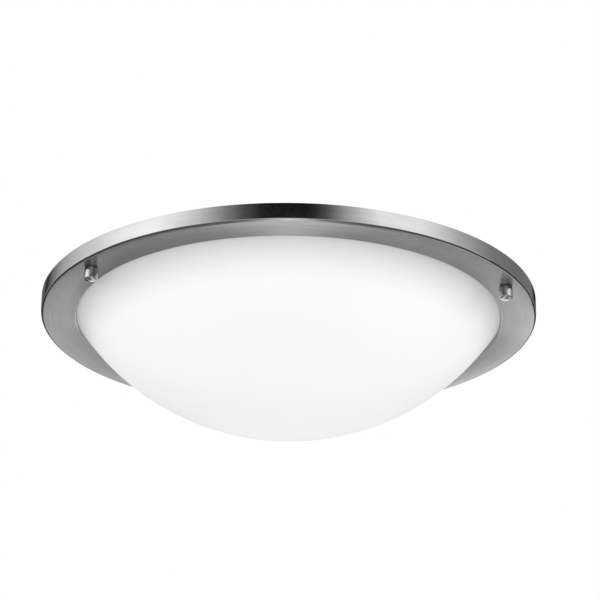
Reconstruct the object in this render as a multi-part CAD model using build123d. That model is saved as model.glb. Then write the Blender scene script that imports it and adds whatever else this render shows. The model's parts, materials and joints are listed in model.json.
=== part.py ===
from build123d import *
import os
from math import cos, hypot, radians, sin, sqrt

os.makedirs("parts", exist_ok=True)

# LED ceiling light: opal glass bowl in a nickel trim ring, held to a pressed pan by three thumbscrews.
# Sizes are in millimetres. The ceiling is the plane z = 0, the light hangs below it about the z axis.

# Trim ring, spun from sheet
RING_R = 190.0  # outside of the wall
RING_HEIGHT = 13.5  # top of the wall to the face
RING_SHEET = 0.8
RING_CORNER_R = 2.0  # outside of the bend between wall and face
RING_EDGE_R = 1.2  # outside of the bend that turns the inner edge up
RING_EDGE_RISE = 1.4  # face to the top of the turned-up edge
FACE_WIDTH = 27.0  # wall to opening
CEILING_GAP = 0.5  # top of the wall to the ceiling

# Glass bowl, blown, with a ground flange
BOWL_DEPTH = 84.0  # below the ring's face
GLASS_WALL = 3.5
GLASS_GAP = 0.5  # between the glass and the ring's edge
FLANGE_THICK = 4.0
FLANGE_CLEAR = 3.1  # between the flange and the bushes
FLANGE_EDGE_R = 0.9
NECK_FILLET_R = 0.8

# Sealing ring and spring clips that hold the glass
SEAL_THICK = 1.0
SEAL_INSET = 0.6  # from the flange's edge, and from the ring's turned-up edge
CLIP_SHEET = 0.6
CLIP_WIDTH = 12.0
CLIP_FOOT = 8.5
CLIP_STANDOFF = 2.6  # foot to the flange's edge
CLIP_FINGER = 5.0  # reach over the flange
CLIP_BEND_R = 1.0

# Base pan, pressed from sheet
PAN_SHEET = 1.0
PAN_GAP = 5.2  # between the pan's rim and the ring's wall
PAN_RIM = 9.0  # depth of the rim below the ceiling
PAN_RECESS = 4.0  # the middle stands this far off the ceiling
PAN_BEND_R = 1.5
SLOT_SPACING = 76.0
SLOT_LENGTH = 18.0
SLOT_R = 2.75
PAD_MARGIN = 8.0  # pad's edge round its slot

# Thumbscrews with necked shanks, washers and threaded bushes
SCREW_COUNT = 3
SCREW_START = 95.3  # angle of the first screw from +X
THREAD_R = 2.0
THREAD_PITCH = 0.7
THREAD_TURNS = 7
THREAD_CLEAR = 0.05
TIP_GAP = 0.3
TIP_CHAMFER = 0.5
NECK_R = 1.45
RING_HOLE_R = 1.75  # smaller than the thread, so the screw stays in the ring
HEAD_R = 5.0
HEAD_HEIGHT = 9.2
HEAD_CHAMFER = 0.4
HEAD_EDGE_R = 1.2  # rounding of the free end
KNURL_TEETH = 60
KNURL_DEPTH = 0.06
WASHER_R = 4.6
WASHER_BORE_R = 2.3
WASHER_THICK = 0.6
BUSH_R = 4.0
BUSH_CLEAR = 1.4  # between the bush and the pan's rim
BUSH_WEB = 1.2  # above the blind bore
BUSH_COUNTERBORE_R = 2.4
SPIGOT_R = 2.9
SPIGOT_SINK = 0.05  # riveted end, below the pan's back
RIVET_CLEAR = 0.05

# Cable entry
CABLE_R = 5.0
GROMMET_R = 10.5
GROMMET_WAIST_R = 7.5
GROMMET_LIP = 1.8

# Leads
LEAD_R = 1.1
LEAD_PITCH = 4.0
LEAD_DROP = 6.0  # below the pan
LEAD_CLEAR = 0.05

# Terminal block
POLE_PITCH = 12.0
BLOCK_DEPTH = 19.0
BLOCK_BODY = 11.0
TURRET_HEIGHT = 4.0
TURRET_WIDTH = 9.0
CLAMP_R = 2.6
CLAMP_BORE_R = 1.8
CLAMP_LENGTH = 17.0
CLAMP_SCREW_R = 1.25
CLAMP_SCREW_HEAD_R = 1.8
CLAMP_SCREW_SPREAD = 5.0
BLOCK_SEAT = 4.0  # plastic under the fixing screw's head

# Driver
DRIVER_LENGTH = 100.0
DRIVER_WIDTH = 36.0
DRIVER_HEIGHT = 24.0
DRIVER_WALL = 1.6
DRIVER_CORNER_R = 3.0
DRIVER_EAR = 10.0
DRIVER_EAR_THICK = 2.0
VENT_COUNT = 7
VENT_PITCH = 6.0
VENT_WIDTH = 2.0
VENT_LENGTH = 18.0
BOARD_THICK = 1.6
LEDGE = 1.5
BOARD_CLEAR = 0.3
TRANSFORMER = (22.0, 20.0, 13.0)
CAPACITOR_R = 4.6
CAPACITOR_HEIGHT = 13.0
CHOKE_R = 4.0
CHOKE_HEIGHT = 9.0

# LED board
LED_BAND = 34.0
LED_ROWS = 2
LEDS_PER_ROW = 36
LED_SIZE = (3.5, 2.8, 0.8)
LED_SCREWS = 6
CONNECTOR = (9.0, 10.0, 7.0)

# Fixings
SCREW_M3_R = 1.5
SCREW_M4_R = 2.0
HEAD_RATIO = 1.85  # head radius to shank radius
HEAD_RISE = 1.3  # head height to shank radius
HOLE_CLEAR = 0.05
PASS_CLEAR = 0.2
SCREW_TIP = 1.5  # screw tips stay this far below the ceiling
TAG_R = 4.5
TAG_THICK = 0.8
TAG_BARREL_R = 1.9
TAG_BARREL = 7.0
GEAR_GAP = 10.0  # room round the pads and between the gear and the LED board
SADDLE = (13.0, 6.0)
SADDLE_FLOOR = 1.2

# Levels and radii that follow
opening_r = RING_R - FACE_WIDTH
wall_top_z = -CEILING_GAP
face_z = wall_top_z - RING_HEIGHT
face_back_z = face_z + RING_SHEET
seal_top_z = face_back_z + SEAL_THICK
flange_top_z = seal_top_z + FLANGE_THICK
bowl_bottom_z = face_z - BOWL_DEPTH
pan_r = RING_R - RING_SHEET - PAN_GAP
screw_circle_r = pan_r - PAN_SHEET - BUSH_CLEAR - BUSH_R
flange_r = screw_circle_r - BUSH_R - FLANGE_CLEAR
gear_z = -PAN_RECESS - PAN_SHEET
lead_z = gear_z - LEAD_DROP
thread_length = THREAD_TURNS * THREAD_PITCH
bore_top_z = -PAN_SHEET - BUSH_WEB
thread_top_z = bore_top_z - TIP_GAP
thread_low_z = thread_top_z - thread_length
washer_low_z = face_z - WASHER_THICK
head_low_z = washer_low_z - HEAD_HEIGHT

pad_length = SLOT_LENGTH + 2 * PAD_MARGIN
pad_width = 2 * SLOT_R + 2 * PAD_MARGIN
pad_foot_y = pad_width / 2 + PAN_RECESS
driver_y = pad_foot_y + GEAR_GAP + DRIVER_WIDTH / 2
block_y = -pad_foot_y - GEAR_GAP - BLOCK_DEPTH / 2
ear_y = driver_y + DRIVER_WIDTH / 4
gear_r = hypot(DRIVER_LENGTH / 2 + DRIVER_EAR, driver_y + DRIVER_WIDTH / 2)
led_in_r = gear_r + GEAR_GAP / 2
led_out_r = led_in_r + LED_BAND
led_mid_r = led_in_r + LED_BAND / 2
led_low_z = gear_z - BOARD_THICK
step_in_r = led_out_r + GEAR_GAP
step_out_r = step_in_r + PAN_RECESS

screw_angles = [SCREW_START + 360 * i / SCREW_COUNT for i in range(SCREW_COUNT)]
clip_angles = [angle + 180 / SCREW_COUNT for angle in screw_angles]
led_screw_angles = [360 * (i + 0.5) / LED_SCREWS for i in range(LED_SCREWS)]


def at(radius, angle, z=0.0):
    """Place on a circle about the middle, turned to face outwards."""
    return Pos(radius * cos(radians(angle)), radius * sin(radians(angle)), z) * Rot(0, 0, angle)


def rod(radius, low_z, high_z):
    """Upright cylinder between two levels."""
    return Pos(0, 0, low_z) * Cylinder(radius, high_z - low_z, align=(Align.CENTER, Align.CENTER, Align.MIN))


def tube(outer, inner, low_z, high_z):
    return rod(outer, low_z, high_z) - rod(inner, low_z, high_z)


def block(length, width, low_z, high_z):
    """Upright box between two levels."""
    return Pos(0, 0, low_z) * Box(
        length, width, high_z - low_z, align=(Align.CENTER, Align.CENTER, Align.MIN)
    )


def rounded_block(length, width, corner_r, low_z, high_z):
    return Pos(0, 0, low_z) * extrude(RectangleRounded(length, width, corner_r), amount=high_z - low_z)


def turned(points):
    """Solid of revolution from radius and height points."""
    return revolve(make_face(Plane.XZ * Polyline(*points, close=True)), Axis.Z)


def spun_sheet(points, radii, sheet):
    """Sheet of even thickness spun about the z axis along a centre line with rounded bends."""
    return revolve(Plane.XZ * trace(FilletPolyline(*points, radius=radii), line_width=sheet), Axis.Z)


def group(solids):
    return Compound(children=list(solids))


def screw(shank_r, seat_z, tip_z):
    """Pan-head screw driven upwards: head below its seat, shank up to its tip."""
    head_r = shank_r * HEAD_RATIO
    head_z = seat_z - shank_r * HEAD_RISE
    crown = shank_r * HEAD_RISE / 2
    return turned(
        [
            (0, head_z),
            (head_r - crown, head_z),
            (head_r, head_z + crown),
            (head_r, seat_z),
            (shank_r, seat_z),
            (shank_r, tip_z - shank_r / 2),
            (shank_r / 2, tip_z),
            (0, tip_z),
        ]
    )


def lead(points, radii):
    """Insulated wire along straight runs joined by arcs."""
    path = FilletPolyline(*points, radius=radii)
    return sweep(Plane(path @ 0, z_dir=path % 0) * Circle(LEAD_R), path=path)


def make_trim_ring():
    wall_r = RING_R - RING_SHEET / 2
    edge_r = opening_r + RING_SHEET / 2
    face_mid_z = face_z + RING_SHEET / 2
    ring = spun_sheet(
        [(wall_r, wall_top_z), (wall_r, face_mid_z), (edge_r, face_mid_z), (edge_r, face_z + RING_EDGE_RISE)],
        [RING_CORNER_R - RING_SHEET / 2, RING_EDGE_R - RING_SHEET / 2],
        RING_SHEET,
    )
    for angle in screw_angles:
        ring -= at(screw_circle_r, angle) * rod(RING_HOLE_R, face_z - 1, face_back_z + 1)
    return ring


def make_glass_bowl():
    """Spherical cap that clears the ring's edge evenly, then turns out into the flange."""
    neck_r = opening_r - GLASS_GAP
    rise = face_z + RING_EDGE_R - bowl_bottom_z
    sphere_r = (neck_r**2 + rise**2) / (2 * rise)
    centre_z = bowl_bottom_z + sphere_r
    inner_r = sphere_r - GLASS_WALL

    def on_sphere(radius, z):
        return (sqrt(radius**2 - (z - centre_z) ** 2), z)

    outer_end = on_sphere(sphere_r, seal_top_z)
    inner_end = on_sphere(inner_r, flange_top_z)
    outer_mid = on_sphere(sphere_r, (bowl_bottom_z + seal_top_z) / 2)
    inner_mid = on_sphere(inner_r, (bowl_bottom_z + GLASS_WALL + flange_top_z) / 2)
    outline = Curve() + [
        ThreePointArc((0, bowl_bottom_z), outer_mid, outer_end),
        Polyline(outer_end, (flange_r, seal_top_z), (flange_r, flange_top_z), inner_end),
        ThreePointArc(inner_end, inner_mid, (0, bowl_bottom_z + GLASS_WALL)),
        Line((0, bowl_bottom_z + GLASS_WALL), (0, bowl_bottom_z)),
    ]
    section = make_face(outline)
    corners = section.vertices()
    section = fillet(corners.filter_by(lambda v: abs(v.X - flange_r) < 0.01), FLANGE_EDGE_R)
    inner_corner = [v for v in section.vertices() if hypot(v.X - inner_end[0], v.Y - inner_end[1]) < 0.01]
    section = fillet(inner_corner, FLANGE_EDGE_R)
    neck_corner = [v for v in section.vertices() if hypot(v.X - outer_end[0], v.Y - outer_end[1]) < 0.01]
    section = fillet(neck_corner, NECK_FILLET_R)
    return revolve(Plane.XZ * section, Axis.Z)


def make_glass_seal():
    inner = opening_r + RING_EDGE_R + SEAL_INSET
    return tube(flange_r - SEAL_INSET, inner, face_back_z, seal_top_z)


def make_glass_clips():
    foot_z = face_back_z + CLIP_SHEET / 2
    finger_z = flange_top_z + CLIP_SHEET / 2
    foot_r = flange_r + CLIP_STANDOFF
    line = FilletPolyline(
        (foot_r + CLIP_FOOT, foot_z),
        (foot_r, foot_z),
        (foot_r - CLIP_STANDOFF / 2, finger_z),
        (flange_r - CLIP_FINGER, finger_z),
        radius=CLIP_BEND_R,
    )
    clip = extrude(Plane.XZ * trace(line, line_width=CLIP_SHEET), amount=CLIP_WIDTH / 2, both=True)
    return group([Rot(0, 0, angle) * clip for angle in clip_angles])


def make_thumbscrew(angle):
    """Knurled head with a rounded end, a neck through the ring, and a thread above it."""
    teeth = []
    for i in range(2 * KNURL_TEETH):
        radius = HEAD_R - KNURL_DEPTH * (i % 2)
        turn = radians(180 * i / KNURL_TEETH)
        teeth.append((radius * cos(turn), radius * sin(turn)))
    knurled = Pos(0, 0, head_low_z) * extrude(make_face(Polyline(*teeth, close=True)), amount=HEAD_HEIGHT)
    blank = rod(HEAD_R, head_low_z, washer_low_z)
    blank = fillet(blank.edges().sort_by(Axis.Z)[0], HEAD_EDGE_R)
    blank = chamfer(blank.edges().sort_by(Axis.Z)[-1], HEAD_CHAMFER)
    shank = turned(
        [
            (0, washer_low_z - 1),
            (NECK_R, washer_low_z - 1),
            (NECK_R, thread_low_z),
            (THREAD_R, thread_low_z),
            (THREAD_R, thread_top_z - TIP_CHAMFER),
            (THREAD_R - TIP_CHAMFER, thread_top_z),
            (0, thread_top_z),
        ]
    )
    return at(screw_circle_r, angle) * ((knurled & blank) + shank)


def make_washer(angle):
    return at(screw_circle_r, angle) * tube(WASHER_R, WASHER_BORE_R, washer_low_z, face_z)


def make_threaded_bushes():
    bush = rod(BUSH_R, face_back_z, -PAN_SHEET) + rod(SPIGOT_R, -PAN_SHEET, -SPIGOT_SINK)
    bush -= rod(THREAD_R + THREAD_CLEAR, face_back_z, bore_top_z)
    bush -= rod(BUSH_COUNTERBORE_R, face_back_z, thread_low_z)
    return group([at(screw_circle_r, angle) * bush for angle in screw_angles])


def make_base_pan():
    """Rim, flat land against the ceiling, step down to the middle, and two pads back up to the ceiling."""
    rim_r = pan_r - PAN_SHEET / 2
    land_z = -PAN_SHEET / 2
    floor_z = land_z - PAN_RECESS
    pan = spun_sheet(
        [(rim_r, -PAN_RIM), (rim_r, land_z), (step_out_r, land_z), (step_in_r, floor_z), (0, floor_z)],
        [PAN_BEND_R, PAN_BEND_R, PAN_BEND_R],
        PAN_SHEET,
    )
    spread = 2 * PAN_RECESS
    pad = loft(
        [
            Pos(0, 0, -PAN_RECESS) * SlotOverall(pad_length + spread, pad_width + spread),
            SlotOverall(pad_length, pad_width),
        ]
    )
    slot = Pos(0, 0, -2 * PAN_SHEET) * extrude(SlotOverall(SLOT_LENGTH, 2 * SLOT_R), amount=4 * PAN_SHEET)
    for side in (-1, 1):
        place = Pos(side * SLOT_SPACING / 2, 0, 0)
        pan += place * pad
        pan -= place * Pos(0, 0, -PAN_SHEET) * pad
        pan -= place * slot

    def hole(place, radius):
        return place * rod(radius, gear_z - 1, 1)

    pan -= hole(Pos(0, 0, 0), GROMMET_WAIST_R + RIVET_CLEAR)
    for angle in screw_angles:
        pan -= hole(at(screw_circle_r, angle), SPIGOT_R + RIVET_CLEAR)
    for place in led_screw_places() + driver_screw_places() + [block_screw_place()]:
        pan -= hole(place, SCREW_M3_R + HOLE_CLEAR)
    pan -= hole(earth_place(), SCREW_M4_R + HOLE_CLEAR)
    return pan


def led_screw_places():
    return [at(led_mid_r, angle) for angle in led_screw_angles]


def driver_screw_places():
    reach = (DRIVER_LENGTH + DRIVER_EAR) / 2
    return [Pos(side * reach, ear_y, 0) for side in (-1, 1)]


def block_screw_place():
    return Pos(POLE_PITCH / 2, block_y, 0)


def earth_place():
    return Pos(SLOT_SPACING / 2 + GEAR_GAP, block_y, 0)


def make_cable_grommet():
    """Rubber ring gripping the pan's edge, with rounded lips."""
    high_z = -PAN_RECESS + GROMMET_LIP
    low_z = gear_z - GROMMET_LIP
    bevel = GROMMET_LIP / 2
    return turned(
        [
            (CABLE_R, low_z),
            (GROMMET_R - bevel, low_z),
            (GROMMET_R, low_z + bevel),
            (GROMMET_R, gear_z),
            (GROMMET_WAIST_R, gear_z),
            (GROMMET_WAIST_R, -PAN_RECESS),
            (GROMMET_R, -PAN_RECESS),
            (GROMMET_R, high_z - bevel),
            (GROMMET_R - bevel, high_z),
            (CABLE_R, high_z),
        ]
    )


def pole_places():
    return [Pos(POLE_PITCH * pole, block_y, 0) for pole in (-1, 0, 1)]


def clamp_screw_places():
    return [place * Pos(0, side * CLAMP_SCREW_SPREAD, 0) for place in pole_places() for side in (-1, 1)]


def tunnel(radius, length):
    """Cylinder along y at the leads' level."""
    return Pos(0, 0, lead_z) * Rot(90, 0, 0) * Cylinder(radius, length)


def make_terminal_block():
    body_low_z = gear_z - BLOCK_BODY
    low_z = body_low_z - TURRET_HEIGHT
    body = Pos(0, block_y, 0) * block(3 * POLE_PITCH, BLOCK_DEPTH, body_low_z, gear_z)
    for place in pole_places():
        body += place * block(TURRET_WIDTH, BLOCK_DEPTH, low_z, body_low_z)
        body -= place * tunnel(CLAMP_R + PASS_CLEAR, BLOCK_DEPTH + 2)
    for place in clamp_screw_places():
        body -= place * rod(CLAMP_SCREW_HEAD_R + PASS_CLEAR, low_z - 1, lead_z)
    head_room_r = SCREW_M3_R * HEAD_RATIO + PASS_CLEAR
    body -= block_screw_place() * rod(SCREW_M3_R + PASS_CLEAR, low_z - 1, gear_z + 1)
    body -= block_screw_place() * rod(head_room_r, low_z - 1, gear_z - BLOCK_SEAT)
    return body


def make_terminal_clamps():
    clamp = tunnel(CLAMP_R, CLAMP_LENGTH) - tunnel(CLAMP_BORE_R, CLAMP_LENGTH + 2)
    for side in (-1, 1):
        hole_r = CLAMP_SCREW_R + HOLE_CLEAR
        clamp -= Pos(0, side * CLAMP_SCREW_SPREAD, 0) * rod(hole_r, lead_z - 2 * CLAMP_R, lead_z)
    return group([place * clamp for place in pole_places()])


def make_clamp_screws():
    tip_z = lead_z - LEAD_R
    head_high_z = lead_z - CLAMP_R - PASS_CLEAR
    low_z = gear_z - BLOCK_BODY - TURRET_HEIGHT / 2
    screw_solid = rod(CLAMP_SCREW_R, head_high_z, tip_z) + rod(CLAMP_SCREW_HEAD_R, low_z, head_high_z)
    return group([place * screw_solid for place in clamp_screw_places()])


def make_driver_tray():
    """Shallow half of the driver's case, with screw ears and ledges for the circuit board."""
    tray = rounded_block(DRIVER_LENGTH, DRIVER_WIDTH, DRIVER_CORNER_R, lead_z, gear_z)
    inner_l = DRIVER_LENGTH - 2 * DRIVER_WALL
    inner_w = DRIVER_WIDTH - 2 * DRIVER_WALL
    tray -= block(inner_l, inner_w, lead_z, gear_z - DRIVER_WALL)
    board_high_z = lead_z + LEAD_R + BOARD_THICK
    for side in (-1, 1):
        ledge_y = side * (inner_w - LEDGE) / 2
        tray += Pos(0, ledge_y, 0) * block(inner_l, LEDGE, board_high_z, gear_z - DRIVER_WALL)
    tray = Pos(0, driver_y, 0) * tray
    for place in driver_screw_places():
        ear_low_z = gear_z - DRIVER_EAR_THICK
        tray += place * block(DRIVER_EAR, DRIVER_EAR, ear_low_z, gear_z)
        tray -= place * rod(SCREW_M3_R + PASS_CLEAR, ear_low_z - 1, gear_z + 1)
    return tray - lead_mouths()


def lead_mouths():
    """Openings for the leads in both ends of the driver's case."""
    mouths = []
    for y in (driver_lead_y(0), driver_lead_y(1)):
        mouths.append(Pos(0, y, lead_z) * Rot(0, 90, 0) * Cylinder(LEAD_R + LEAD_CLEAR, DRIVER_LENGTH + 2))
    return mouths


def driver_lead_y(rank):
    return driver_y - DRIVER_WIDTH / 4 + LEAD_PITCH * (rank - 0.5)


def make_driver_cover():
    """Deep half of the driver's case, with a row of vents."""
    low_z = gear_z - DRIVER_HEIGHT
    cover = rounded_block(DRIVER_LENGTH, DRIVER_WIDTH, DRIVER_CORNER_R, low_z, lead_z)
    cover = chamfer(cover.faces().sort_by(Axis.Z)[0].edges(), DRIVER_WALL / 2)
    inner_l = DRIVER_LENGTH - 2 * DRIVER_WALL
    inner_w = DRIVER_WIDTH - 2 * DRIVER_WALL
    cover -= block(inner_l, inner_w, low_z + DRIVER_WALL, lead_z)
    for i in range(VENT_COUNT):
        x = VENT_PITCH * (i - (VENT_COUNT - 1) / 2)
        cover -= Pos(x, 0, 0) * block(VENT_WIDTH, VENT_LENGTH, low_z - 1, low_z + 2 * DRIVER_WALL)
    return Pos(0, driver_y, 0) * cover - lead_mouths()


def driver_board_low_z():
    return lead_z + LEAD_R


def make_driver_board():
    length = DRIVER_LENGTH - 2 * DRIVER_WALL - 2 * BOARD_CLEAR
    width = DRIVER_WIDTH - 2 * DRIVER_WALL - 2 * BOARD_CLEAR
    low_z = driver_board_low_z()
    return Pos(0, driver_y, 0) * block(length, width, low_z, low_z + BOARD_THICK)


def make_transformer():
    """Ferrite core round a taped winding."""
    length, width, height = TRANSFORMER
    high_z = driver_board_low_z()
    low_z = high_z - height
    core = block(length, width / 2, low_z, high_z)
    winding = block(length * 0.55, width, low_z + height * 0.15, high_z - height * 0.15)
    winding = chamfer(winding.edges().filter_by(Axis.Z), width / 6)
    return Pos(DRIVER_LENGTH / 8, driver_y + DRIVER_WIDTH / 8, 0) * (core + winding)


def make_capacitors():
    high_z = driver_board_low_z()
    can = rod(CAPACITOR_R, high_z - CAPACITOR_HEIGHT, high_z)
    can = chamfer(can.faces().sort_by(Axis.Z)[0].edges(), CAPACITOR_R / 8)
    spots = [(-DRIVER_LENGTH / 4, DRIVER_WIDTH / 5), (DRIVER_LENGTH * 0.36, DRIVER_WIDTH / 5)]
    return group([Pos(x, driver_y + y, 0) * can for x, y in spots])


def make_choke():
    high_z = driver_board_low_z()
    low_z = high_z - CHOKE_HEIGHT
    waist = CHOKE_HEIGHT / 5
    drum = rod(CHOKE_R, low_z, low_z + waist) + rod(CHOKE_R, high_z - waist, high_z)
    drum += rod(CHOKE_R * 0.8, low_z, high_z)
    return Pos(-DRIVER_LENGTH / 10, driver_y + DRIVER_WIDTH / 8, 0) * drum


def make_driver_screws():
    seat_z = gear_z - DRIVER_EAR_THICK
    return group([place * screw(SCREW_M3_R, seat_z, -SCREW_TIP) for place in driver_screw_places()])


def make_block_screw():
    return block_screw_place() * screw(SCREW_M3_R, gear_z - BLOCK_SEAT, -SCREW_TIP)


def make_led_board():
    board = tube(led_out_r, led_in_r, led_low_z, gear_z)
    for place in led_screw_places():
        board -= place * rod(SCREW_M3_R + PASS_CLEAR, led_low_z - 1, gear_z + 1)
    return board


def make_led_board_screws():
    return group([place * screw(SCREW_M3_R, led_low_z, -SCREW_TIP) for place in led_screw_places()])


def make_led_chips():
    """Chips in rings on the board's underside, the rows set half a step apart, none beside the connector."""
    chip = block(LED_SIZE[0], LED_SIZE[1], led_low_z - LED_SIZE[2], led_low_z)
    step = 360 / LEDS_PER_ROW
    connector = connector_place().position
    chips = []
    for row in range(LED_ROWS):
        radius = led_in_r + LED_BAND * (row + 0.75) / (LED_ROWS + 0.5)
        for i in range(LEDS_PER_ROW):
            place = at(radius, step * (i + 0.5 * row + 0.25))
            away = (place.position - connector).length
            if away > CONNECTOR[1]:
                chips.append(place * chip)
    return group(chips)


def connector_place():
    y = driver_lead_y(0.5) - 3 * LEAD_PITCH
    x = sqrt((led_in_r + CONNECTOR[0] / 2) ** 2 - y**2) + LEAD_PITCH / 2
    return Pos(x, y, 0)


def make_led_connector():
    length, width, height = CONNECTOR
    body = block(length, width, led_low_z - height, led_low_z)
    for rank in (0, 1):
        y = LEAD_PITCH * (rank - 0.5)
        body -= Pos(0, y, lead_z) * Rot(0, 90, 0) * Cylinder(LEAD_R + LEAD_CLEAR, length + 2)
    return connector_place() * body


def make_supply_lead(rank):
    """From the terminal block round the pad and into the driver: rank 0 is live, 1 neutral."""
    x = POLE_PITCH * (rank - 1)
    low_y = block_y - BLOCK_DEPTH / 2 - GEAR_GAP - LEAD_PITCH * rank
    run_x = -DRIVER_LENGTH / 2 - 1.4 * GEAR_GAP - LEAD_PITCH * rank
    end_y = driver_lead_y(rank)
    points = [
        (x, block_y - CLAMP_SCREW_SPREAD / 2, lead_z),
        (x, low_y, lead_z),
        (run_x, low_y, lead_z),
        (run_x, end_y, lead_z),
        (-DRIVER_LENGTH / 2 + 3 * DRIVER_WALL, end_y, lead_z),
    ]
    return lead(points, [0.8 * GEAR_GAP, 1.4 * GEAR_GAP, GEAR_GAP])


def make_led_lead(rank):
    """From the driver to the connector on the LED board: rank 0 is negative, 1 positive."""
    start_y = driver_lead_y(rank)
    spot = connector_place().position
    end_y = spot.Y + LEAD_PITCH * (rank - 0.5)
    bend_x = DRIVER_LENGTH / 2 + 2 * GEAR_GAP + LEAD_PITCH * rank
    points = [
        (DRIVER_LENGTH / 2 - 3 * DRIVER_WALL, start_y, lead_z),
        (bend_x, start_y, lead_z),
        (bend_x, end_y, lead_z),
        (spot.X, end_y, lead_z),
    ]
    return lead(points, [GEAR_GAP / 2, GEAR_GAP / 2])


def barrel_z():
    return gear_z - TAG_BARREL_R


def make_earth_lead():
    spot = earth_place().position
    low_y = block_y - BLOCK_DEPTH / 2 - GEAR_GAP
    points = [
        (POLE_PITCH, block_y - CLAMP_SCREW_SPREAD / 2, lead_z),
        (POLE_PITCH, low_y, lead_z),
        (spot.X, low_y, barrel_z()),
        (spot.X, spot.Y - TAG_R - TAG_BARREL / 2, barrel_z()),
    ]
    return lead(points, [0.8 * GEAR_GAP, 0.8 * GEAR_GAP])


def make_earth_tag():
    """Ring tag with a crimped barrel for the earth lead."""
    tag = rod(TAG_R, gear_z - TAG_THICK, gear_z)
    tag += Pos(0, -TAG_R - TAG_BARREL / 8, 0) * block(TAG_BARREL_R, TAG_R, gear_z - TAG_THICK, gear_z)
    barrel_y = -TAG_R - TAG_BARREL / 2
    tag += Pos(0, barrel_y, barrel_z()) * Rot(90, 0, 0) * Cylinder(TAG_BARREL_R, TAG_BARREL)
    tag -= Pos(0, barrel_y, barrel_z()) * Rot(90, 0, 0) * Cylinder(LEAD_R + LEAD_CLEAR, TAG_BARREL + 2)
    tag -= rod(SCREW_M4_R + PASS_CLEAR, gear_z - 1, gear_z + 1)
    return earth_place() * tag


def make_earth_screw():
    return earth_place() * screw(SCREW_M4_R, gear_z - TAG_THICK, -SCREW_TIP)


def make_lead_saddles():
    """Saddles on the pan that hold the live and neutral leads side by side."""
    length, width = SADDLE
    middle_x = -DRIVER_LENGTH / 2 - 1.4 * GEAR_GAP - LEAD_PITCH / 2
    saddle = block(length, width, lead_z - LEAD_R - SADDLE_FLOOR, gear_z)
    for rank in (0, 1):
        saddle -= Pos(LEAD_PITCH * (0.5 - rank), 0, 0) * tunnel(LEAD_R + LEAD_CLEAR, width + 2)
    spots = (-pad_foot_y, pad_foot_y)
    return group([Pos(middle_x, y, 0) * saddle for y in spots])


nodes = {
    "base_pan": make_base_pan(),
    "threaded_bushes": make_threaded_bushes(),
    "cable_grommet": make_cable_grommet(),
    "terminal_block": make_terminal_block(),
    "terminal_clamps": make_terminal_clamps(),
    "terminal_clamp_screws": make_clamp_screws(),
    "terminal_block_screw": make_block_screw(),
    "earth_tag": make_earth_tag(),
    "earth_screw": make_earth_screw(),
    "earth_lead": make_earth_lead(),
    "live_lead": make_supply_lead(0),
    "neutral_lead": make_supply_lead(1),
    "lead_saddles": make_lead_saddles(),
    "driver_tray": make_driver_tray(),
    "driver_cover": make_driver_cover(),
    "driver_circuit_board": make_driver_board(),
    "driver_transformer": make_transformer(),
    "driver_capacitors": make_capacitors(),
    "driver_choke": make_choke(),
    "driver_screws": make_driver_screws(),
    "led_board": make_led_board(),
    "led_chips": make_led_chips(),
    "led_board_screws": make_led_board_screws(),
    "led_connector": make_led_connector(),
    "led_negative_lead": make_led_lead(0),
    "led_positive_lead": make_led_lead(1),
    "trim_ring": make_trim_ring(),
    "glass_bowl": make_glass_bowl(),
    "glass_seal": make_glass_seal(),
    "glass_clips": make_glass_clips(),
}
for number, angle in enumerate(screw_angles, start=1):
    nodes[f"washer_{number}"] = make_washer(angle)
    nodes[f"thumbscrew_{number}"] = make_thumbscrew(angle)

for name, shape in nodes.items():
    export_step(shape, f"parts/{name}.step")
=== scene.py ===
import json
from math import asin, cos, pi, radians, sin
from math import degrees as degrees_of

import bmesh
import bpy
from mathutils import Matrix, Vector
from mathutils.geometry import tessellate_polygon


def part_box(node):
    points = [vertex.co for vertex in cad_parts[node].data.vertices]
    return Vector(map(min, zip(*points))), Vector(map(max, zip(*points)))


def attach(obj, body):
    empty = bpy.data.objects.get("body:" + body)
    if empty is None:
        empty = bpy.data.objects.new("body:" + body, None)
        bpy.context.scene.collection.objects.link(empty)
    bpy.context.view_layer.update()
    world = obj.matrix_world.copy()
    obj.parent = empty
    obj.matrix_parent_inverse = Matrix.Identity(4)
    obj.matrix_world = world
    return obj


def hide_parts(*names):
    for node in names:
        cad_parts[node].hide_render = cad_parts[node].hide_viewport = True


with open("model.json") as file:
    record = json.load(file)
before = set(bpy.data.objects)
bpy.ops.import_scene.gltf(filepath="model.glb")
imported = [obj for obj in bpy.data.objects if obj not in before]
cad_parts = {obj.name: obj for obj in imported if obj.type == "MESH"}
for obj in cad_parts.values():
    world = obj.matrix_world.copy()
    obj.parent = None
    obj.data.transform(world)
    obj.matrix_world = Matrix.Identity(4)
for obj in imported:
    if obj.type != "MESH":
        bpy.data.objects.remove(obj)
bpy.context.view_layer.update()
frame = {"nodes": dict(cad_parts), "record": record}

# Sizes are in metres where a name gives no other unit.

# Camera: below the light and in front of it, at the photograph's angle
CAMERA_DISTANCE = 2.0225
CAMERA_DROP_DEG = 22.824
CAMERA_ROLL_DEG = 0.396
CAMERA_AIM = (0.00867, -0.00212, 0.00479)
LENS_MM = 157.20
SENSOR_MM = 36.0
CAMERA_CLIP_END = 200.0

# Trim ring's section, as in its solid
RING_CORNER_R = 0.0020
RING_EDGE_R = 0.0012
RING_EDGE_RISE = 0.0014
RING_SHEET = 0.0008
FACE_WIDTH = 0.027
RING_SEGMENTS = 720
BEND_STEPS = 6
SHARP_DEG = 30

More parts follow.
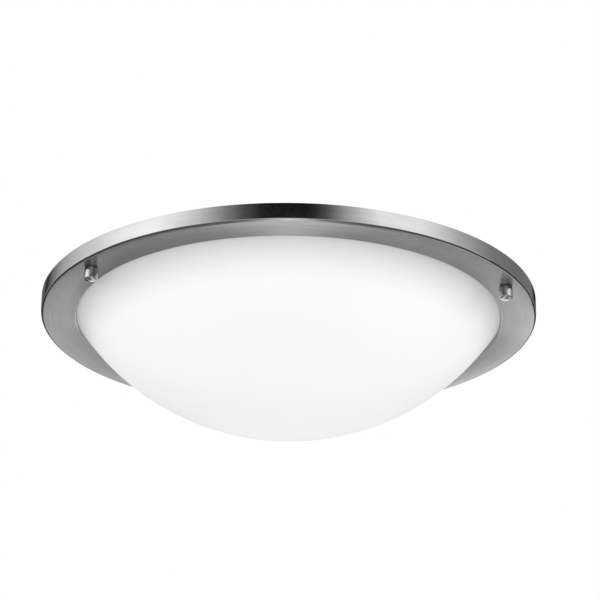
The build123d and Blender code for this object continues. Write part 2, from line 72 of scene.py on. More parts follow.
# Brushed finish of the ring: how far highlights spread across the brush lines, which are coarser towards
# the face's inner edge, the radii between which they change, how sharply the wall's finish takes over at
# the bend, and how much the roughness varies
BRUSH_ANISOTROPY = 1.0
BRUSH_ROTATION = 0.25
WALL_ROUGHNESS = 0.10
FACE_ROUGHNESS = 0.22
EDGE_ROUGHNESS = 0.40
BRUSHED_R = (0.163, 0.188)
BEND_SHARPNESS = 16.0
ROUGHNESS_PLAY = 0.04

# Brush lines: how fast they change across and along, the scale of wiped patches, (place, tone) stops of their
# mixture, and (depth, strength) of their bump
FINE_BRUSH = (5200.0, 14.0)
BROAD_BRUSH = (260.0, 3.0)
WIPE_SCALE = 45.0
BRUSH_TONES = ((0.40, 0.93), (0.60, 1.07))
BRUSH_BUMP = (0.00001, 0.08)

# Thumbscrews, as in their solids but for the cut thread and the crown on the head's end
SCREW_COUNT = 3
HEAD_R = 0.0050
HEAD_HEIGHT = 0.0092
HEAD_CHAMFER = 0.0004
HEAD_EDGE_R = 0.0012
HEAD_CROWN_R = 0.0150
CROWN_END_DEG = 1.0
KNURL_TEETH = 60
KNURL_DEPTH = 0.00006
TOOTH_STEPS = 4
NECK_R = 0.00145
THREAD_R = 0.0020
THREAD_PITCH = 0.0007
THREAD_TURNS = 7
THREAD_DEPTH = 0.00030
THREAD_STEPS = 8
TIP_CHAMFER = 0.0005

# Small screws. Pan heads and their cross recesses go by the shank's radius.
SCREW_M3_R = 0.0015
SCREW_M4_R = 0.0020
PAN_HEAD_RATIO = 1.85
PAN_HEAD_RISE = 1.3
CROSS_ARMS = 4
CROSS_REACH = 0.95
CROSS_HALF = 0.24
CROSS_DEPTH = 0.75
CLAMP_SCREW_R = 0.00125
CLAMP_HEAD_R = 0.0018
CLAMP_HEAD_HEIGHT = 0.0042
SLOT_ARMS = 2
SLOT_REACH = 0.0016
SLOT_HALF = 0.00028
SLOT_DEPTH = 0.0010
RECESS_TAPER = 0.75
SCREW_SEGMENTS = 48
TWIST_STEP_DEG = 37
COARSE_PITCH = 0.0005
COARSE_DEPTH = COARSE_PITCH / 3

# LED board: places of the chips and the screws, as in their solids, and the white housing round each chip.
# The rows' margin is a share of their spacing, and their start and stagger are shares of a step.
LED_BAND = 0.034
LED_ROWS = 2
LEDS_PER_ROW = 36
ROW_MARGIN = 0.75
ROW_START = 0.25
ROW_STAGGER = 0.5
LED_SCREWS = 6
LED_SIZE = (0.0035, 0.0028)
CONNECTOR_CLEAR = 0.010
HOUSING_SKIN = 0.00003
HOUSING_RIM = 0.00045

# LED board's lacquer over its copper tracks
TRACE_SCALE = 52.0
TRACE_EDGE = (0.30, 0.36)
TRACE_SHADE = 0.86
TRACE_BUMP = (0.00004, 0.8)
LACQUER_GRAIN = 1500.0
LACQUER_ROUGHNESS = (0.30, 0.40)

# Earth lead's sleeve: its two colours, how far the stripe comes up from the sleeve's underside, how far its
# edge wanders, and the sleeve's surface
EARTH_GREEN = (0.08, 0.36, 0.10, 1)
EARTH_YELLOW = (0.82, 0.66, 0.05, 1)
EARTH_STRIPE_RISE = 0.0005
STRIPE_WANDER = 0.0001
SLEEVE_GRAIN = 1200.0
SLEEVE_ROUGHNESS = (0.40, 0.55)
SLEEVE_BUMP = (0.00003, 0.4)

# Glass: the light that spreads inside it, its gloss and its etched surface
GLASS_SUBSURFACE = 0.15
GLASS_SPREAD = (0.004, 0.004, 0.004)
GLASS_SPECULAR = 0.35
ETCH_SCALE = 2600.0
ETCH_ROUGHNESS = (0.50, 0.58)
ETCH_BUMP = (0.00003, 0.25)

# Glass: painted shade. Heights between which the glass is painted greyer towards the neck, standing in for
# the ring's shade there, how much of the white is left at the neck, and the clouds that make the change
# uneven
NECK_PAINTED_SHADE_Z = (-0.040, -0.012)
NECK_PAINTED_SHADE = 0.80
CLOUD_SCALE = 14.0
CLOUD_RISE = 0.0012

# Range in which a noise mostly lies, and the refraction of glass, paint and plastic
NOISE_RANGE = (0.3, 0.7)
IOR = 1.5

# Metals: (roughness, scale of the grain) by slot, and what all of them share
METALS = {
    "nickel_plate": (0.15, 2400.0),
    "zinc_steel": (0.32, 1800.0),
    "spring_steel": (0.28, 1500.0),
    "clamp_brass": (0.30, 2000.0),
    "tinned_copper": (0.36, 1500.0),
}
STAIN_GRAINS = 8
STAIN_SHADE = 0.86
METAL_PLAY = 0.25
METAL_BUMP = (0.00002, 0.4)

# Coatings: (roughness, scale of the grain, depth of the grain, tone of the darker patches), and what all of
# them share
ENAMEL = (0.42, 700.0, 0.00006, 0.98)
PLASTIC = (0.50, 1200.0, 0.00003, 0.94)
PATCH_GRAINS = 20
COATING_PLAY = 0.15
COATING_BUMP_STRENGTH = 0.5

# Studio. Cards are patches of a sphere about the light, and only shiny surfaces show them. The wall is
# placed by degrees of turn to the right of the camera's side and degrees of rise above the horizon, and its
# brightness goes by turn. The low cards are placed by degrees of swing from the front horizon down and
# under the light to the back, and by degrees sideways, and their brightness goes by degrees sideways.
FLOOR_Z = -3.0
FLOOR_SIZE = 60.0
FLOOR_COLOR = (0.78, 0.78, 0.78, 1)
SKY_STRENGTH = 0.745
CARD_R = 2.9
CARD_STEP_DEG = 4
WALL_RISE_DEG = (4, 56)
WALL_LIGHT = (
    (-180, 0.12),
    (-160, 0.20),
    (-144, 0.025),
    (-138, 0.18),
    (-118, 0.70),
    (-80, 1.54),
    (-60, 1.76),
    (-40, 1.03),
    (-28, 0.37),
    (-20, 0.115),
    (-12, 0.02),
    (-8, 0.01),
    (8, 0.01),
    (12, 0.045),
    (16, 0.135),
    (20, 0.31),
    (40, 1.46),
    (60, 1.45),
    (80, 0.74),
    (100, 0.35),
    (125, 0.24),
    (146, 0.24),
    (155, 0.02),
    (166, 0.02),
    (180, 0.10),
)
LOW_CARDS = (
    ("front_card", (6, 100), (
        (-82, 0.08), (-50, 0.10), (-30, 0.16), (-20, 0.20), (-13, 0.30), (-6, 0.80), (0, 1.15),
        (6, 0.80), (13, 0.30), (20, 0.20), (30, 0.16), (50, 0.10), (82, 0.08),
    )),
    ("under_card", (100, 156), (
        (-82, 0.06), (-42, 0.06), (-32, 0.30), (-18, 0.32), (-14, 0.15), (-6.5, 0.18), (-4, 0.72), (0, 0.95),
        (4, 0.74), (6.5, 0.22), (14, 0.24), (18, 0.70), (32, 0.66), (42, 0.06), (82, 0.06),
    )),
    ("low_back_card", (156, 166), (
        (-82, 0.03), (-14, 0.03), (-12, 1.06), (18, 1.08), (21, 0.03), (82, 0.03),
    )),
    ("high_back_card", (166, 183), (
        (-82, 0.03), (-10, 0.03), (-7, 1.40), (11, 1.40), (14, 0.03), (82, 0.03),
    )),
)

# Soft boxes: name, place, (width, height) and radiance. All of them face the same point.
LAMP_AIM = (0, 0, -0.05)
LAMPS = (
    ("front_softbox", (0, -4.0, -0.5), (4.0, 3.0), 1.75),
    ("left_softbox", (-3.6, -0.6, 1.0), (3.6, 2.0), 2.4),
    ("right_softbox", (3.6, -0.6, 1.0), (3.6, 2.0), 2.6),
    ("back_softbox", (0, 2.6, -2.4), (3.0, 2.0), 2.1),
)


def add(tree, kind, inputs=None, **settings):
    """Add a node. Settings are its properties; inputs are its sockets, each a value or a node's output."""
    node = tree.nodes.new(kind)
    for name, value in settings.items():
        setattr(node, name, value)
    for name, value in (inputs or {}).items():
        if isinstance(value, bpy.types.NodeSocket):
            tree.links.new(value, node.inputs[name])
        else:
            node.inputs[name].default_value = value
    return node


def calc(tree, operation, first, second=0.0, third=0.0):
    inputs = {0: first, 1: second, 2: third}
    return add(tree, "ShaderNodeMath", inputs, operation=operation).outputs[0]


def axes_of(tree, vector):
    return add(tree, "ShaderNodeSeparateXYZ", {"Vector": vector}).outputs


def noise(tree, vector, scale, detail):
    inputs = {"Vector": vector, "Scale": scale, "Detail": detail}
    return add(tree, "ShaderNodeTexNoise", inputs).outputs["Fac"]


def map_range(tree, value, start, end, **settings):
    """Carry a value from one (low, high) range over to another."""
    inputs = {"Value": value, "From Min": start[0], "From Max": start[1], "To Min": end[0], "To Max": end[1]}
    return add(tree, "ShaderNodeMapRange", inputs, **settings).outputs["Result"]


def ramp(tree, value, stops):
    """Colour ramp through (place, colour) stops."""
    node = add(tree, "ShaderNodeValToRGB", {"Fac": value})
    elements = node.color_ramp.elements
    while len(elements) < len(stops):
        elements.new(0.5)
    for element, (place, color) in zip(elements, stops):
        element.position = place
        element.color = color
    return node.outputs["Color"]


def bump(tree, height, depth, strength):
    inputs = {"Height": height, "Distance": depth, "Strength": strength}
    return add(tree, "ShaderNodeBump", inputs).outputs["Normal"]


def grey(value):
    return (value, value, value, 1)


def shade(color, factor):
    return tuple(channel * factor for channel in color[:3]) + (1,)


def plain_material(name):
    material = bpy.data.materials.new(name)
    material.use_nodes = True
    material.node_tree.nodes.clear()
    return material, material.node_tree


def new_material(name, inputs):
    """Material with one principled shader, with its tree, its shader and the object's coordinates."""
    material, tree = plain_material(name)
    shader = add(tree, "ShaderNodeBsdfPrincipled", inputs)
    add(tree, "ShaderNodeOutputMaterial", {"Surface": shader.outputs["BSDF"]})
    place = add(tree, "ShaderNodeTexCoord").outputs["Object"]
    return material, tree, shader, place


def join(tree, output, shader, socket):
    tree.links.new(output, shader.inputs[socket])


def flattened(tree, place):
    """Level part of a place, as seen along the light's axis, and its distance from the axis."""
    flat = add(tree, "ShaderNodeVectorMath", {0: place, 1: (1, 1, 0)}, operation="MULTIPLY").outputs["Vector"]
    return flat, add(tree, "ShaderNodeVectorMath", {0: flat}, operation="LENGTH").outputs["Value"]


def ring_place(tree, place, across, along):
    """Coordinates that run fast across a turned surface and slowly round it, with no seam."""
    flat, radius = flattened(tree, place)
    turn = add(tree, "ShaderNodeVectorMath", {0: flat}, operation="NORMALIZE").outputs["Vector"]
    turn = add(tree, "ShaderNodeVectorMath", {0: turn, "Scale": along}, operation="SCALE").outputs["Vector"]
    level = calc(tree, "MULTIPLY", calc(tree, "SUBTRACT", radius, axes_of(tree, place)["Z"]), across)
    lift = add(tree, "ShaderNodeCombineXYZ", {"Z": level}).outputs[0]
    return add(tree, "ShaderNodeVectorMath", {0: turn, 1: lift}, operation="ADD").outputs["Vector"]


def brushed_nickel(name, color):
    """Satin nickel brushed round the light's axis: highlights spread across the brush lines."""
    material, tree, shader, place = new_material(
        name,
        {"Metallic": 1.0, "Anisotropic": BRUSH_ANISOTROPY, "Anisotropic Rotation": BRUSH_ROTATION},
    )
    fine = noise(tree, ring_place(tree, place, *FINE_BRUSH), scale=1.0, detail=3.0)
    broad = noise(tree, ring_place(tree, place, *BROAD_BRUSH), scale=1.0, detail=2.0)
    wiped = noise(tree, place, WIPE_SCALE, detail=4.0)
    mixed = calc(tree, "DIVIDE", calc(tree, "ADD", calc(tree, "ADD", fine, broad), wiped), 3.0)
    tones = [(stop, shade(color, tone)) for stop, tone in BRUSH_TONES]
    join(tree, ramp(tree, mixed, tones), shader, "Base Color")
    facing = add(tree, "ShaderNodeNewGeometry").outputs["Normal"]
    upright = calc(tree, "ABSOLUTE", axes_of(tree, facing)["Z"])
    level = calc(tree, "POWER", upright, BEND_SHARPNESS)
    extra = (EDGE_ROUGHNESS - WALL_ROUGHNESS, FACE_ROUGHNESS - WALL_ROUGHNESS)
    coarse = map_range(tree, flattened(tree, place)[1], BRUSHED_R, extra)
    smooth = calc(tree, "MULTIPLY_ADD", level, coarse, WALL_ROUGHNESS)
    roughness = calc(tree, "MULTIPLY_ADD", calc(tree, "SUBTRACT", fine, 0.5), ROUGHNESS_PLAY, smooth)
    join(tree, roughness, shader, "Roughness")
    tangent = add(tree, "ShaderNodeTangent", direction_type="RADIAL", axis="Z").outputs["Tangent"]
    join(tree, tangent, shader, "Tangent")
    join(tree, bump(tree, fine, *BRUSH_BUMP), shader, "Normal")
    return material


def opal_glass(name, color):
    """Etched opal glass: white all through, with painted shade greying it towards the neck, in place of the
    ring's shade.
    """
    material, tree, shader, place = new_material(
        name,
        {
            "Subsurface Weight": GLASS_SUBSURFACE,
            "Subsurface Radius": GLASS_SPREAD,
            "Subsurface Scale": 1.0,
            "IOR": IOR,
            "Specular IOR Level": GLASS_SPECULAR,
        },
    )
    # Painted shade: the colour greys by height towards the neck, in place of the shade the ring casts on the
    # glass, and clouds make its edge uneven.
    cloud = noise(tree, place, CLOUD_SCALE, detail=3.0)
    lift = calc(tree, "MULTIPLY", calc(tree, "SUBTRACT", cloud, 0.5), CLOUD_RISE)
    height = calc(tree, "ADD", axes_of(tree, place)["Z"], lift)
    painted_shade = map_range(tree, height, NECK_PAINTED_SHADE_Z, (0.0, 1.0), interpolation_type="SMOOTHSTEP")
    join(tree, ramp(tree, painted_shade, ((0.0, color), (1.0, shade(color, NECK_PAINTED_SHADE)))), shader, "Base Color")
    etched = noise(tree, place, ETCH_SCALE, detail=2.0)
    join(tree, map_range(tree, etched, NOISE_RANGE, ETCH_ROUGHNESS), shader, "Roughness")
    join(tree, bump(tree, etched, *ETCH_BUMP), shader, "Normal")
    return material


def patches(tree, value, dark, light):
    """Colours between which a noise varies."""
    return ramp(tree, value, ((NOISE_RANGE[0], dark), (NOISE_RANGE[1], light)))


def about(middle, play):
    """Range that reaches a share to either side of its middle."""
    return (middle * (1 - play), middle * (1 + play))


def metal(name, color, roughness, grain):
    """Plated or bare metal with fine grain and slight stains."""
    material, tree, shader, place = new_material(name, {"Metallic": 1.0})
    stain = noise(tree, place, grain / STAIN_GRAINS, detail=4.0)
    fine = noise(tree, place, grain, detail=2.0)
    join(tree, patches(tree, stain, shade(color, STAIN_SHADE), color), shader, "Base Color")
    join(tree, map_range(tree, fine, NOISE_RANGE, about(roughness, METAL_PLAY)), shader, "Roughness")
    join(tree, bump(tree, fine, *METAL_BUMP), shader, "Normal")
    return material


def coating(name, color, roughness, grain, depth, tone):
    """Paint, plastic or rubber with a fine surface of its own and faint changes of tone."""
    material, tree, shader, place = new_material(name, {"IOR": IOR})
    patch = noise(tree, place, grain / PATCH_GRAINS, detail=3.0)
    fine = noise(tree, place, grain, detail=2.0)
    join(tree, patches(tree, patch, shade(color, tone), color), shader, "Base Color")
    join(tree, map_range(tree, fine, NOISE_RANGE, about(roughness, COATING_PLAY)), shader, "Roughness")
    join(tree, bump(tree, fine, depth, COATING_BUMP_STRENGTH), shader, "Normal")
    return material


def striped_sleeve(name, color, stripe, stripe_z):
    """Wire sleeve of one colour with a stripe of another along its underside."""
    material, tree, shader, place = new_material(name, {"IOR": IOR})
    fine = noise(tree, place, SLEEVE_GRAIN, detail=2.0)
    wander = calc(tree, "MULTIPLY", calc(tree, "SUBTRACT", fine, 0.5), STRIPE_WANDER)
    height = calc(tree, "ADD", axes_of(tree, place)["Z"], wander)
    striped = calc(tree, "LESS_THAN", height, stripe_z)
    join(tree, ramp(tree, striped, ((0.0, color), (1.0, stripe))), shader, "Base Color")
    join(tree, map_range(tree, fine, NOISE_RANGE, SLEEVE_ROUGHNESS), shader, "Roughness")
    join(tree, bump(tree, fine, *SLEEVE_BUMP), shader, "Normal")
    return material


def printed_board(name, color):
    """White lacquer over rings of copper track, which show as faint raised bands."""
    material, tree, shader, place = new_material(name, {"IOR": IOR})
    tracks = add(
        tree,
        "ShaderNodeTexWave",
        {"Vector": place, "Scale": TRACE_SCALE},
        wave_type="RINGS",
        rings_direction="Z",
    ).outputs["Fac"]
    edge = ramp(tree, tracks, ((TRACE_EDGE[0], grey(0)), (TRACE_EDGE[1], grey(1))))
    join(tree, ramp(tree, edge, ((0.0, shade(color, TRACE_SHADE)), (1.0, color))), shader, "Base Color")
    fine = noise(tree, place, LACQUER_GRAIN, detail=2.0)
    join(tree, map_range(tree, fine, NOISE_RANGE, LACQUER_ROUGHNESS), shader, "Roughness")
    join(tree, bump(tree, edge, *TRACE_BUMP), shader, "Normal")
    return material


def rgb(record_color):
    return tuple(record_color[:3]) + (1,)


written = {entry["slot"]: rgb(entry["base_color"]) for entry in frame["record"]["materials"]}

materials = {
    "satin_nickel": brushed_nickel("satin_nickel", written["satin_nickel"]),
    "opal_glass": opal_glass("opal_glass", written["opal_glass"]),
    "white_enamel": coating("white_enamel", written["white_enamel"], *ENAMEL),
    "white_board": printed_board("white_board", written["white_board"]),
    "green_yellow_sleeve": striped_sleeve(
        "green_yellow_sleeve", EARTH_GREEN, EARTH_YELLOW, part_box("earth_lead")[0].z + EARTH_STRIPE_RISE
    ),
}
for slot, (roughness, grain) in METALS.items():
    materials[slot] = metal(slot, written[slot], roughness, grain)
for slot, color in written.items():
    if slot not in materials:
        materials[slot] = coating(slot, color, *PLASTIC)

for part in frame["record"]["subparts"]:
    mesh = frame["nodes"][part["node"]].data
    mesh.materials.clear()
    mesh.materials.append(materials[part["material_slot"]])


def new_object(name, vertices, faces):
    mesh = bpy.data.meshes.new(name)
    mesh.from_pydata(vertices, [], faces)
    item = bpy.data.objects.new(name, mesh)
    bpy.context.scene.collection.objects.link(item)
    return item


def arc(centre, radius, start, end, steps):
    """Points on an arc in the plane of radius and height, from one angle to another in degrees."""
    points = []
    for i in range(steps + 1):
        turn = radians(start + (end - start) * i / steps)
        points.append((centre[0] + radius * cos(turn), centre[1] + radius * sin(turn)))
    return points


def turned(profile, segments, centre=(0, 0), radius_at=None, closed=True, capped=True):
    """Vertices and faces of a profile of (radius, height) points turned about an upright axis.

    radius_at gives the radius by a point's radius, height and turn in degrees, for knurls and threads. A
    profile that isn't closed on itself runs from the top downwards, with a flat end at the top and, where
    capped, at the bottom.
    """
    vertices = []
    for i in range(segments):
        degrees = 360 * i / segments
        turn = radians(degrees)
        for r, z in profile:
            if radius_at:
                r = radius_at(r, z, degrees)
            vertices.append((centre[0] + r * cos(turn), centre[1] + r * sin(turn), z))
    count = len(profile)
    faces = []
    for i in range(segments):
        here, there = i * count, (i + 1) % segments * count
        for k in range(count if closed else count - 1):
            after = (k + 1) % count
            faces.append((here + k, here + after, there + after, there + k))
    if not closed:
        faces.append([i * count for i in range(segments)])
        if capped:
            faces.append([(i + 1) * count - 1 for i in range(segments)])
    return vertices, faces


def make_piece(name, shapes, body, slot, replaced=None):
    """Piece of the visual model made of (vertices, faces) shapes, smooth but for its sharp edges."""
    vertices, faces = [], []
    for shape_vertices, shape_faces in shapes:
        start = len(vertices)
        vertices += shape_vertices
        faces += [[start + corner for corner in face] for face in shape_faces]
    piece = new_object(name, vertices, faces)
    outward = bmesh.new()
    outward.from_mesh(piece.data)
    bmesh.ops.recalc_face_normals(outward, faces=outward.faces)
    outward.to_mesh(piece.data)
    outward.free()
    piece.data.shade_smooth()
    piece.data.set_sharp_from_angle(angle=radians(SHARP_DEG))
    piece.data.materials.append(materials[slot])
    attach(piece, body)
    if replaced:
        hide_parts(replaced)


def make_ring():
    """The spun trim ring, with the same section as its solid and finer round its bends."""
    low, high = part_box("trim_ring")
    corner = (high.x - RING_CORNER_R, low.z + RING_CORNER_R)
    edge = (high.x - FACE_WIDTH + RING_EDGE_R, low.z + RING_EDGE_R)
    edge_top = low.z + RING_EDGE_RISE
    profile = [(high.x, high.z)]
    profile += arc(corner, RING_CORNER_R, 0, -90, BEND_STEPS)
    profile += arc(edge, RING_EDGE_R, -90, -180, BEND_STEPS)
    profile += [(edge[0] - RING_EDGE_R, edge_top), (edge[0] - RING_EDGE_R + RING_SHEET, edge_top)]
    profile += arc(edge, RING_EDGE_R - RING_SHEET, 180, 270, BEND_STEPS)
    profile += arc(corner, RING_CORNER_R - RING_SHEET, -90, 0, BEND_STEPS)
    profile += [(high.x - RING_SHEET, high.z)]
    make_piece("spun_trim_ring", [turned(profile, RING_SEGMENTS)], "shade", "satin_nickel", "trim_ring")


def thread_wave(z, degrees, pitch):
    """Depth of a right-handed thread as a share, from 0 at its crest to 1 at its root."""
    return abs(2 * ((z / pitch - degrees / 360) % 1) - 1)


def make_thumbscrew(number):
    """Knurled head with a rounded end, a neck and a cut thread, from the thread's tip downwards."""
    node = f"thumbscrew_{number}"
    low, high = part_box(node)
    head_top = low.z + HEAD_HEIGHT
    thread_low = high.z - THREAD_TURNS * THREAD_PITCH
    thread_high = high.z - TIP_CHAMFER

    def radius_at(radius, z, degrees):
        if z <= head_top:
            tooth = degrees * KNURL_TEETH / 360 % 1
            return min(radius, HEAD_R - KNURL_DEPTH * abs(2 * tooth - 1))
        if z >= thread_low:
            return min(radius, THREAD_R - THREAD_DEPTH * thread_wave(z - thread_low, degrees, THREAD_PITCH))
        return radius

    profile = [(THREAD_R - TIP_CHAMFER, high.z)]
    steps = round((thread_high - thread_low) / THREAD_PITCH * THREAD_STEPS)
    for i in range(steps + 1):
        profile.append((THREAD_R, thread_high + (thread_low - thread_high) * i / steps))
    profile += [(NECK_R, thread_low), (NECK_R, head_top), (HEAD_R - HEAD_CHAMFER, head_top)]
    profile += [(HEAD_R, head_top - HEAD_CHAMFER)]
    edge_r = HEAD_R - HEAD_EDGE_R
    lean = asin(edge_r / (HEAD_CROWN_R - HEAD_EDGE_R))
    edge_z = low.z + HEAD_CROWN_R - (HEAD_CROWN_R - HEAD_EDGE_R) * cos(lean)
    steep = degrees_of(lean) - 90
    profile += arc((edge_r, edge_z), HEAD_EDGE_R, 0, steep, BEND_STEPS)
    profile += arc((0, low.z + HEAD_CROWN_R), HEAD_CROWN_R, steep, CROWN_END_DEG - 90, BEND_STEPS)[1:]
    axis = (low + high) / 2
    shape = turned(profile, KNURL_TEETH * TOOTH_STEPS, axis, radius_at, closed=False)
    make_piece(f"knurled_{node}", [shape], node, "nickel_plate", node)


def spun(x, y, degrees):
    turn = radians(degrees)
    return (x * cos(turn) - y * sin(turn), x * sin(turn) + y * cos(turn))


def recess(arms, reach, half, twist):
    """Outline of a driver's recess: a slot with two arms or a cross with four, twisted by degrees."""
    outline = []
    for arm in range(arms):
        degrees = twist + 360 * arm / arms
        outline += [spun(reach, -half, degrees), spun(reach, half, degrees)]
        if arms > SLOT_ARMS:
            outline.append(spun(half, half, degrees))
    return outline


def recessed_screw(centre, profile, shank_r, outline, depth):
    """Screw driven upwards, from its tip downwards, with a threaded shank and a recess in its head."""

    def radius_at(radius, z, degrees):
        if radius == shank_r:
            return radius - COARSE_DEPTH * thread_wave(z, degrees, COARSE_PITCH)
        return radius

    vertices, faces = turned(profile, SCREW_SEGMENTS, centre, radius_at, closed=False, capped=False)
    count = len(profile)
    rim = [(i + 1) * count - 1 for i in range(SCREW_SEGMENTS)]
    low_z = profile[-1][1]
    mouth, floor = [], []
    for x, y in outline:
        mouth.append(len(vertices))
        vertices.append((centre[0] + x, centre[1] + y, low_z))
        floor.append(len(vertices))
        vertices.append((centre[0] + x * RECESS_TAPER, centre[1] + y * RECESS_TAPER, low_z + depth))
    flat = rim + mouth
    for triangle in tessellate_polygon([[Vector(vertices[i]) for i in loop] for loop in (rim, mouth)]):
        faces.append([flat[corner] for corner in triangle])
    for i in range(len(outline)):
        after = (i + 1) % len(outline)
        faces.append((mouth[i], mouth[after], floor[after], floor[i]))
    faces.append(floor)
    return vertices, faces


def shank_points(shank_r, high_z, low_z):
    """Profile of a shank from its bevelled tip down to its head."""
    thread_high = high_z - shank_r / 2
    steps = round((thread_high - low_z) / COARSE_PITCH * THREAD_STEPS)
    points = [(shank_r / 2, high_z)]
    for i in range(steps + 1):
        points.append((shank_r, thread_high + (low_z - thread_high) * i / steps))
    return points


def make_pan_screws(node, shank_r, centres):
    """Pan-head screws with cross recesses, each turned its own way."""
    low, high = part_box(node)
    head_r = shank_r * PAN_HEAD_RATIO
    head_rise = shank_r * PAN_HEAD_RISE
    seat_z = low.z + head_rise
    crown = head_rise / 2
    profile = shank_points(shank_r, high.z, seat_z)
    profile += [(head_r, seat_z)]
    profile += arc((head_r - crown, low.z + crown), crown, 0, -90, BEND_STEPS)
    shapes = []
    for i, centre in enumerate(centres):
        outline = recess(CROSS_ARMS, shank_r * CROSS_REACH, shank_r * CROSS_HALF, TWIST_STEP_DEG * i)
        shapes.append(recessed_screw(centre, profile, shank_r, outline, shank_r * CROSS_DEPTH))
    make_piece(f"recessed_{node}", shapes, "ceiling_base", "zinc_steel", node)


def make_clamp_screws():
    """Slotted screws that clamp the wires, two in each of the three poles."""
    node = "terminal_clamp_screws"
    low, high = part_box(node)
    profile = shank_points(CLAMP_SCREW_R, high.z, low.z + CLAMP_HEAD_HEIGHT)
    profile += [(CLAMP_HEAD_R, low.z + CLAMP_HEAD_HEIGHT), (CLAMP_HEAD_R, low.z)]
    shapes = []
    for x in (low.x + CLAMP_HEAD_R, (low.x + high.x) / 2, high.x - CLAMP_HEAD_R):
        for y in (low.y + CLAMP_HEAD_R, high.y - CLAMP_HEAD_R):
            outline = recess(SLOT_ARMS, SLOT_REACH, SLOT_HALF, TWIST_STEP_DEG * len(shapes))
            shapes.append(recessed_screw((x, y), profile, CLAMP_SCREW_R, outline, SLOT_DEPTH))
    make_piece(f"slotted_{node}", shapes, "ceiling_base", "zinc_steel", node)


def make_small_screws():
    board_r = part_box("led_board")[1].x
    middle_r = board_r - LED_BAND / 2
    led_centres = [spun(middle_r, 0, 360 * (i + 0.5) / LED_SCREWS) for i in range(LED_SCREWS)]
    make_pan_screws("led_board_screws", SCREW_M3_R, led_centres)
    low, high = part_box("driver_screws")
    head_r = SCREW_M3_R * PAN_HEAD_RATIO
    y = (low.y + high.y) / 2
    make_pan_screws("driver_screws", SCREW_M3_R, [(low.x + head_r, y), (high.x - head_r, y)])
    for node, shank_r in (("terminal_block_screw", SCREW_M3_R), ("earth_screw", SCREW_M4_R)):
        low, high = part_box(node)
        make_pan_screws(node, shank_r, [(low + high) / 2])
    make_clamp_screws()


def led_places():
    """Radius and angle of each chip: rows set half a step apart, with none beside the connector."""
    inner_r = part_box("led_board")[1].x - LED_BAND
    low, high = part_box("led_connector")
    connector = ((low + high) / 2).to_2d()
    places = []
    for row in range(LED_ROWS):
        radius = inner_r + LED_BAND * (row + ROW_MARGIN) / (LED_ROWS - 1 + 2 * ROW_MARGIN)
        for i in range(LEDS_PER_ROW):
            degrees = 360 / LEDS_PER_ROW * (i + ROW_STAGGER * row + ROW_START)
            if (Vector(spun(radius, 0, degrees)) - connector).length > CONNECTOR_CLEAR:
                places.append((radius, degrees))
    return places


def make_led_housings():
    """White plastic round the sides of each chip and round the edge of its phosphor."""
    low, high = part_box("led_chips")
    outer = [size / 2 + HOUSING_SKIN for size in LED_SIZE]
    inner = [size / 2 - HOUSING_RIM for size in LED_SIZE]
    low_z = low.z - HOUSING_SKIN
    loops = ((outer, high.z), (outer, low_z), (inner, low_z), (inner, low.z + HOUSING_SKIN))
    corners = ((1, 1), (-1, 1), (-1, -1), (1, -1))
    count = len(corners)
    shapes = []
    for radius, degrees in led_places():
        vertices = []
        for half, z in loops:
            for along, across in corners:
                vertices.append((*spun(radius + along * half[0], across * half[1], degrees), z))
        faces = []
        for loop in range(len(loops)):
            here, there = count * loop, count * ((loop + 1) % len(loops))
            for i in range(count):
                after = (i + 1) % count
                faces.append((here + i, here + after, there + after, there + i))
        shapes.append((vertices, faces))
    make_piece("led_housings", shapes, "ceiling_base", "white_polyamide")


def make_floor():
    half = FLOOR_SIZE / 2
    corners = [(-half, -half, FLOOR_Z), (half, -half, FLOOR_Z), (half, half, FLOOR_Z), (-half, half, FLOOR_Z)]
    floor = new_object("floor", corners, [(0, 1, 2, 3)])
    material, tree = plain_material("floor")
    surface = add(tree, "ShaderNodeBsdfDiffuse", {"Color": FLOOR_COLOR}).outputs[0]
    add(tree, "ShaderNodeOutputMaterial", {"Surface": surface})
    floor.data.materials.append(material)


def by_turn(turn, rise):
    """Point of the studio's sphere by degrees of turn from the camera's side and rise above the horizon."""
    turn, rise = radians(turn), radians(rise)
    return (CARD_R * cos(rise) * sin(turn), -CARD_R * cos(rise) * cos(turn), CARD_R * sin(rise))


def by_swing(swing, side):
    """Point of the studio's sphere by degrees of swing under the light from the front and sideways."""
    swing, side = radians(swing), radians(side)
    return (CARD_R * sin(side), -CARD_R * cos(side) * cos(swing), -CARD_R * cos(side) * sin(swing))


def turn_of(tree, axes):
    return calc(tree, "ARCTAN2", axes["X"], calc(tree, "MULTIPLY", axes["Y"], -1.0))


def side_of(tree, axes):
    return calc(tree, "ARCSINE", calc(tree, "DIVIDE", axes["X"], CARD_R))


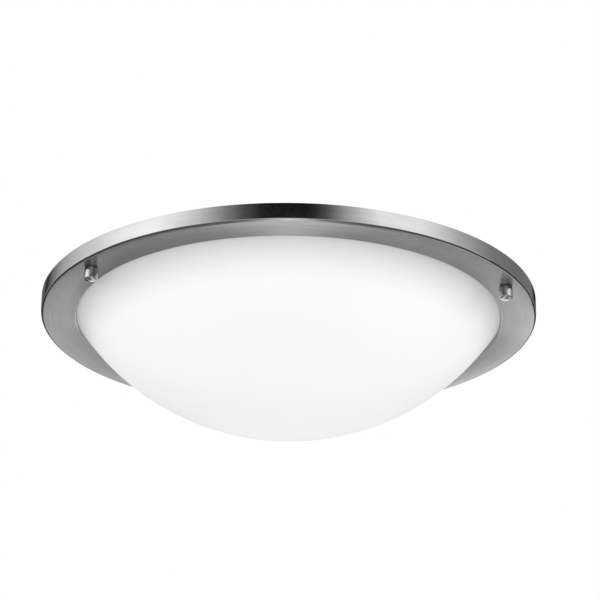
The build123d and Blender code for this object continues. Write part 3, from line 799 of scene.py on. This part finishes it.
def make_card(name, place, firsts, seconds, stops, angle_of):
    """Patch of the studio's sphere that only shiny surfaces show, with brightness stops by degrees."""
    columns = round((firsts[1] - firsts[0]) / CARD_STEP_DEG)
    rows = round(abs(seconds[1] - seconds[0]) / CARD_STEP_DEG)
    vertices = []
    for row in range(rows + 1):
        second = seconds[0] + (seconds[1] - seconds[0]) * row / rows
        for column in range(columns + 1):
            vertices.append(place(firsts[0] + (firsts[1] - firsts[0]) * column / columns, second))
    faces = []
    for row in range(rows):
        for column in range(columns):
            corner = row * (columns + 1) + column
            faces.append((corner, corner + 1, corner + columns + 2, corner + columns + 1))
    card = new_object(name, vertices, faces)
    material, tree = plain_material(name)
    axes = axes_of(tree, add(tree, "ShaderNodeTexCoord").outputs["Object"])
    share = calc(tree, "ADD", calc(tree, "DIVIDE", angle_of(tree, axes), radians(360)), 0.5)
    brightest = max(level for _, level in stops)
    light = ramp(tree, share, [(degrees / 360 + 0.5, grey(level / brightest)) for degrees, level in stops])
    surface = add(tree, "ShaderNodeEmission", {"Color": light, "Strength": brightest}).outputs[0]
    add(tree, "ShaderNodeOutputMaterial", {"Surface": surface})
    card.data.materials.append(material)
    card.visible_camera = False
    card.visible_diffuse = False
    card.visible_shadow = False
    card.visible_transmission = False


def make_lamp(name, place, size, radiance):
    """Soft box: an area lamp that lights evenly with the given radiance."""
    width, height = size
    data = bpy.data.lights.new(name, "AREA")
    data.shape = "RECTANGLE"
    data.size = width
    data.size_y = height
    data.energy = radiance * width * height * pi
    lamp = bpy.data.objects.new(name, data)
    bpy.context.scene.collection.objects.link(lamp)
    lamp.location = place
    lamp.rotation_euler = (Vector(LAMP_AIM) - Vector(place)).to_track_quat("-Z", "Y").to_euler()
    lamp.visible_camera = False
    lamp.visible_glossy = False


def make_world():
    """White to the camera, in reflections and through glass; softer as the light on matt surfaces."""
    world = bpy.data.worlds.new("studio")
    bpy.context.scene.world = world
    world.use_nodes = True
    tree = world.node_tree
    tree.nodes.clear()
    seen = add(tree, "ShaderNodeLightPath").outputs
    direct = calc(tree, "MAXIMUM", seen["Is Camera Ray"], seen["Is Glossy Ray"])
    direct = calc(tree, "MAXIMUM", direct, seen["Is Transmission Ray"])
    soft = add(tree, "ShaderNodeBackground", {"Color": grey(1), "Strength": SKY_STRENGTH}).outputs[0]
    white = add(tree, "ShaderNodeBackground", {"Color": grey(1), "Strength": 1.0}).outputs[0]
    mixed = add(tree, "ShaderNodeMixShader", {0: direct, 1: soft, 2: white}).outputs[0]
    add(tree, "ShaderNodeOutputWorld", {"Surface": mixed})


def make_camera():
    data = bpy.data.cameras.new("camera")
    data.lens = LENS_MM
    data.sensor_width = SENSOR_MM
    data.clip_end = CAMERA_CLIP_END
    camera = bpy.data.objects.new("camera", data)
    bpy.context.scene.collection.objects.link(camera)
    drop = radians(CAMERA_DROP_DEG)
    camera.location = (0, -CAMERA_DISTANCE * cos(drop), -CAMERA_DISTANCE * sin(drop))
    look = (Vector(CAMERA_AIM) - camera.location).to_track_quat("-Z", "Y")
    roll = Matrix.Rotation(radians(CAMERA_ROLL_DEG), 4, "Z")
    camera.rotation_euler = (look.to_matrix().to_4x4() @ roll).to_euler()
    bpy.context.scene.camera = camera


make_ring()
for number in range(1, SCREW_COUNT + 1):
    make_thumbscrew(number)
make_small_screws()
make_led_housings()
make_floor()
make_card("studio_wall", by_turn, (-180, 180), WALL_RISE_DEG, WALL_LIGHT, turn_of)
for name, swing_deg, stops in LOW_CARDS:
    make_card(name, by_swing, swing_deg, (stops[0][0], stops[-1][0]), stops, side_of)
for lamp in LAMPS:
    make_lamp(*lamp)
make_world()
make_camera()
bpy.context.scene.view_settings.view_transform = "Standard"
